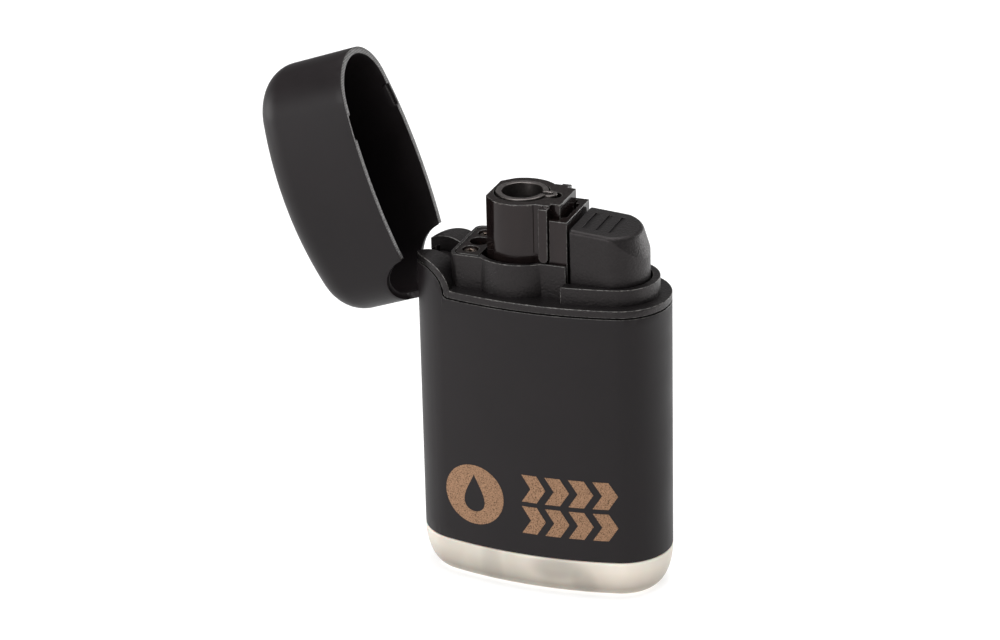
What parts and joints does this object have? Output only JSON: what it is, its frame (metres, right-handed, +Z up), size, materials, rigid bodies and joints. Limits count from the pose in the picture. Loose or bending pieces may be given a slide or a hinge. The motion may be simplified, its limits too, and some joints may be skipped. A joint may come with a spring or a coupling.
{
  "type": "pocket jet lighter",
  "caption": "Refillable pocket jet lighter: oval black case on a frosted fuel tank, flip lid on an end hinge, keyhole burner tube and sprung thumb button.",
  "frame": {"origin": "centre of the flat base of the fuel tank", "axes": "+Z up through the burner, +X across the width from the lid hinge to the thumb button, -Y towards the printed front"},
  "size_m": [0.0576, 0.0168, 0.0743],
  "materials": {
    "soft_touch_black": "black soft-touch lacquer over moulded plastic, satin, very fine grain",
    "frosted_clear": "frosted translucent warm off-white plastic, glossy skin",
    "matte_black": "black moulded plastic with a fine spark-eroded grain",
    "button_black": "black moulded plastic with a fine pebbled grain",
    "gloss_black": "glossy black heat-resistant plastic with moulding streaks",
    "burner_metal": "dark heat-toned turned metal",
    "dark_steel": "blackened screw steel, worn bright at the drive",
    "steel": "plain spring and wire steel",
    "brass": "turned brass",
    "black_rubber": "black nitrile rubber",
    "white_plastic": "natural acetal plastic",
    "ceramic": "glazed ceramic",
    "wick_felt": "off-white fibre felt",
    "tan_ink": "tan pad-printed ink, slightly grainy"
  },
  "bodies": {
    "case": {"outer_sleeve": "soft_touch_black", "fuel_tank": "frosted_clear", "top_frame": "matte_black", "valve_cover_plate": "matte_black", "cover_screw_front": "dark_steel", "cover_screw_rear": "dark_steel", "hinge_pin": "steel", "lid_detent_spring": "steel", "burner_tower": "gloss_black", "burner_tube": "burner_metal", "flame_holder": "steel", "gas_jet": "brass", "electrode": "steel", "ignition_lead": "black_rubber", "igniter_bracket": "gloss_black", "valve_body": "brass", "valve_spring": "steel", "lever_pin": "steel", "tank_cover": "white_plastic", "tank_gasket": "black_rubber", "fuel_wick": "wick_felt", "piezo_housing": "matte_black", "return_spring": "steel", "piezo_crystal": "ceramic", "piezo_anvil": "steel", "hammer_spring": "steel", "fill_valve_body": "brass", "fill_valve_spring": "steel"},
    "lid": {"lid_shell": "soft_touch_black"},
    "button": {"push_button": "button_black", "piezo_plunger": "white_plastic"},
    "hammer": {"piezo_hammer": "steel"},
    "valve_lever": {"valve_lever": "white_plastic"},
    "valve_stem": {"valve_stem": "brass", "valve_seal": "black_rubber"},
    "flame_adjuster": {"flame_adjuster": "brass"},
    "fill_valve_stem": {"fill_valve_stem": "brass", "fill_valve_seal": "black_rubber"}
  },
  "joints": [
    {"name": "lid_hinge", "type": "hinge", "parent": "case", "child": "lid", "pos_m": [-0.01545, 0, 0.04304], "axis": [0, 1, 0], "range_deg": [0, 109.6]},
    {"name": "button_slide", "type": "slide", "parent": "case", "child": "button", "axis": [0, 0, -1], "range_m": [0, 0.0036], "stiffness_N_per_m": 2500, "springref_m": -0.0008, "deforming": ["return_spring"]},
    {"name": "hammer_slide", "type": "slide", "parent": "case", "child": "hammer", "axis": [0, 0, -1], "range_m": [0, 0.00121], "deforming": ["hammer_spring"]},
    {"name": "valve_lever_pivot", "type": "hinge", "parent": "case", "child": "valve_lever", "pos_m": [0.0016, 0, 0.0307], "axis": [0, 1, 0], "range_deg": [0, 9.01]},
    {"name": "valve_stem_slide", "type": "slide", "parent": "case", "child": "valve_stem", "axis": [0, 0, 1], "range_m": [0, 0.0007], "deforming": ["valve_spring"]},
    {"name": "flame_adjuster_turn", "type": "hinge", "parent": "case", "child": "flame_adjuster", "pos_m": [-0.0093, 0, 0.04], "axis": [0, 0, 1], "range_deg": [-135, 135]},
    {"name": "fill_valve_slide", "type": "slide", "parent": "case", "child": "fill_valve_stem", "axis": [0, 0, 1], "range_m": [0, 0.0012], "stiffness_N_per_m": 800, "springref_m": -0.0005, "deforming": ["fill_valve_spring"]}
  ],
  "couplings": [
    {"joint": "hammer_slide", "follows": "button_slide", "ratio": 0.3333},
    {"joint": "valve_lever_pivot", "follows": "button_slide", "rad_per_m": 43.6},
    {"joint": "valve_stem_slide", "follows": "button_slide", "ratio": 0.194}
  ]
}
